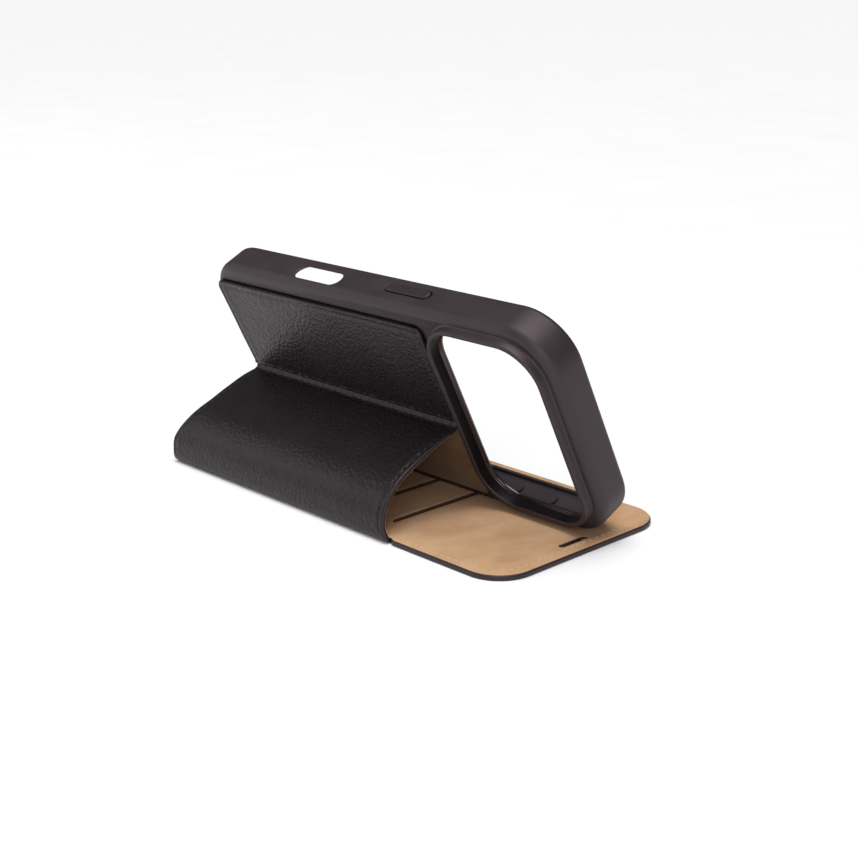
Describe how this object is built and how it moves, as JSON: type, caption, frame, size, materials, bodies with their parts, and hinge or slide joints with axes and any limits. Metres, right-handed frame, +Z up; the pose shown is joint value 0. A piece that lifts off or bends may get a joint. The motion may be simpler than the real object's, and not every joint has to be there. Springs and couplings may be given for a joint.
{
  "type": "phone wallet case",
  "caption": "Folio phone case standing in landscape: moulded tray with a camera window, leather back panel and curled spine, and a lined front cover with card pockets.",
  "frame": {"origin": "centre of the object's box, on the table it stands on", "axes": "+X along the phone towards its camera end, +Y from the spine to the cover's free edge, +Z up"},
  "size_m": [0.159, 0.0752, 0.0747],
  "materials": {
    "leather": "black pebbled leather, satin",
    "microsuede": "tan microsuede, short mottled nap",
    "board": "grey-brown fibre board",
    "pocket_cloth": "thin tan lining cloth",
    "tray": "matte soft-touch black",
    "button_keys": "matte black",
    "camera_rim": "semi-gloss black"
  },
  "bodies": {
    "cover": {"cover_leather": "leather", "cover_board": "board", "lower_card_pocket": "pocket_cloth", "upper_card_pocket": "pocket_cloth", "cover_lining": "microsuede"},
    "spine": {"spine_leather": "leather", "spine_lining": "microsuede"},
    "flap": {"flap_leather": "leather", "flap_board": "board", "flap_lining": "microsuede"},
    "tray": {"tray_shell": "tray", "camera_rim": "camera_rim", "panel_leather": "leather", "panel_board": "board", "tray_backing": "microsuede"},
    "power_button": {"power_button": "button_keys"},
    "action_button": {"action_button": "button_keys"},
    "volume_up_button": {"volume_up_button": "button_keys"},
    "volume_down_button": {"volume_down_button": "button_keys"}
  },
  "joints": [
    {"name": "cover_fold", "type": "hinge", "parent": "cover", "child": "spine", "pos_m": [0, -0.03655, 0.00095], "axis": [1, 0, 0], "range_deg": [0, 175]},
    {"name": "flap_fold", "type": "hinge", "parent": "spine", "child": "flap", "pos_m": [0, -0.03286, 0.01527], "axis": [1, 0, 0], "range_deg": [0, 50]},
    {"name": "stand_crease", "type": "hinge", "parent": "flap", "child": "tray", "pos_m": [0, -0.00625, 0.0299], "axis": [-1, 0, 0], "range_deg": [0, 84]},
    {"name": "power_press", "type": "slide", "parent": "tray", "child": "power_button", "axis": [0, 0.4399, -0.898], "range_m": [0, 0.00035], "stiffness_N_per_m": 600},
    {"name": "action_press", "type": "slide", "parent": "tray", "child": "action_button", "axis": [0, -0.4399, 0.898], "range_m": [0, 0.00035], "stiffness_N_per_m": 600},
    {"name": "volume_up_press", "type": "slide", "parent": "tray", "child": "volume_up_button", "axis": [0, -0.4399, 0.898], "range_m": [0, 0.00035], "stiffness_N_per_m": 600},
    {"name": "volume_down_press", "type": "slide", "parent": "tray", "child": "volume_down_button", "axis": [0, -0.4399, 0.898], "range_m": [0, 0.00035], "stiffness_N_per_m": 600}
  ],
  "couplings": [
    {"joint": "flap_fold", "follows": "stand_crease", "ratio": 0.58}
  ]
}
